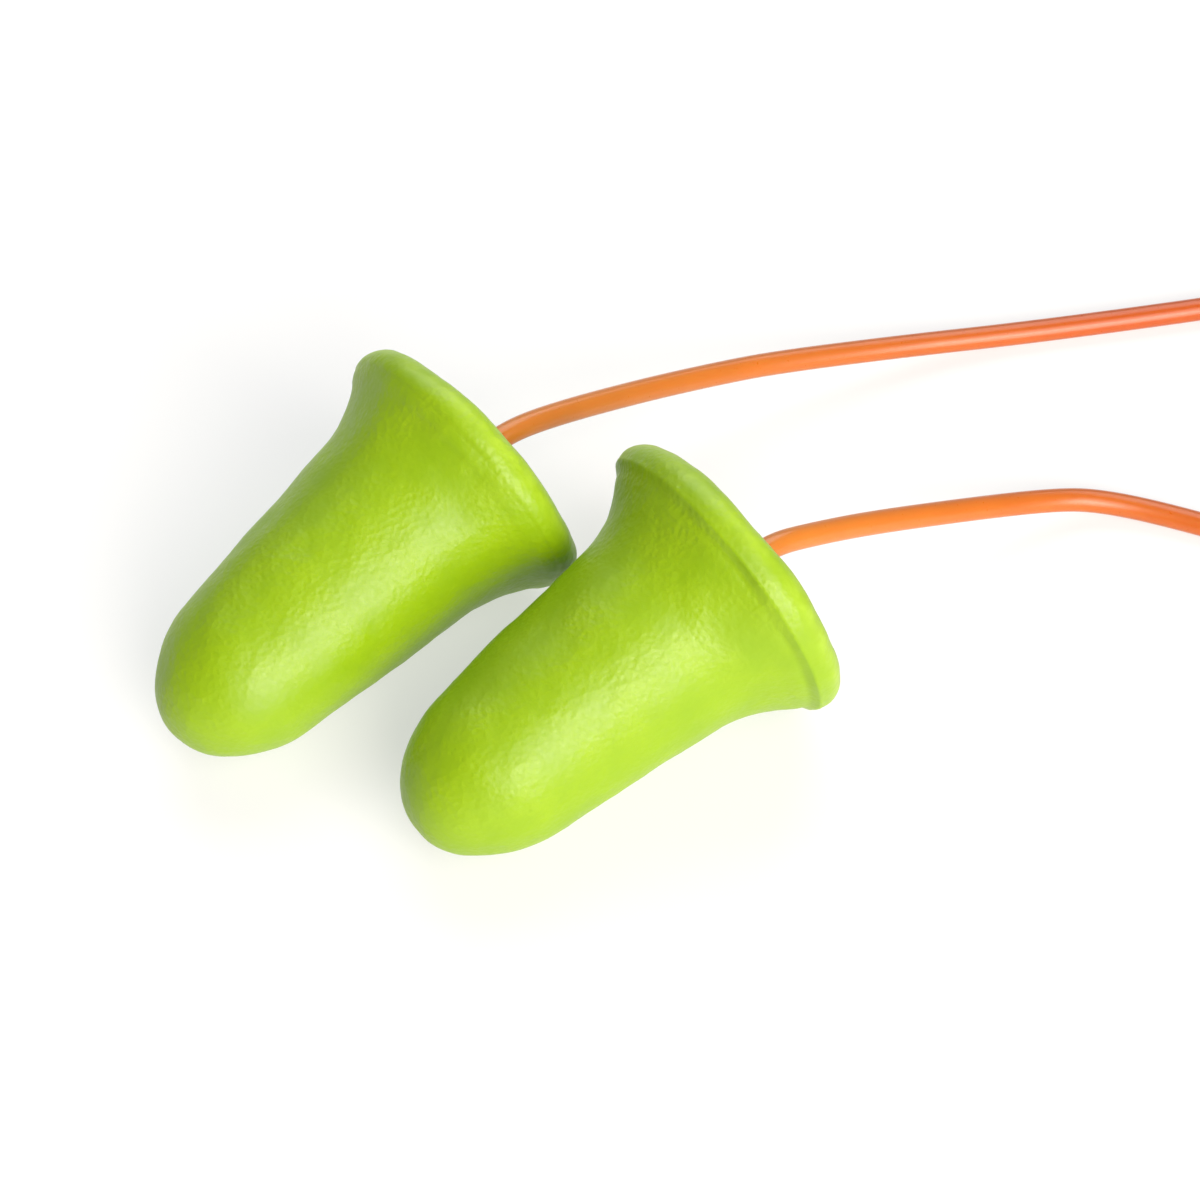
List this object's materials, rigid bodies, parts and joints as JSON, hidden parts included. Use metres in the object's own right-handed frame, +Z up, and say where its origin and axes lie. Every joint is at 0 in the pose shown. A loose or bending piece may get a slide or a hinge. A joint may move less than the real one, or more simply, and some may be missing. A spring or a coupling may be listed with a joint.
{
  "type": "foam ear plugs",
  "caption": "Corded foam ear plugs: domed, tapered soft foam plugs with flared flanges, joined by a thin vinyl cord with its spare length in a tied coil.",
  "frame": {"origin": "bottom centre of the box of the two plugs, as they lie on a surface", "axes": "+Z up from the surface, +Y from the plugs' tips to their flanges, +X from the left plug to the right plug"},
  "size_m": [0.0617, 0.1032, 0.0196],
  "materials": {
    "foam": "soft slow-recovery foam with a fine matte skin, yellow-green",
    "cord": "soft orange vinyl cord, semi-gloss",
    "glue": "cured clear adhesive",
    "tie": "white plastic-covered wire strip"
  },
  "bodies": {
    "cord": {"left_cord_end": "cord", "right_cord_end": "cord", "left_cord_lead": "cord", "right_cord_lead": "cord", "cord_coil": "cord", "coil_twist_tie": "tie"},
    "left_plug": {"left_foam_plug": "foam", "left_glue_sleeve": "glue"},
    "right_plug": {"right_foam_plug": "foam", "right_glue_sleeve": "glue"}
  },
  "joints": [
    {"name": "left_plug_twist", "type": "hinge", "parent": "cord", "child": "left_plug", "pos_m": [-0.00902, 0.00876, 0.01012], "axis": [-0.0435, 0.9758, 0.2143], "range_deg": [-180, 180], "stiffness_Nm_per_rad": 0.00005},
    {"name": "right_plug_twist", "type": "hinge", "parent": "cord", "child": "right_plug", "pos_m": [0.00902, 0.01613, 0.01012], "axis": [0.0435, 0.9758, 0.2143], "range_deg": [-180, 180], "stiffness_Nm_per_rad": 0.00005}
  ]
}
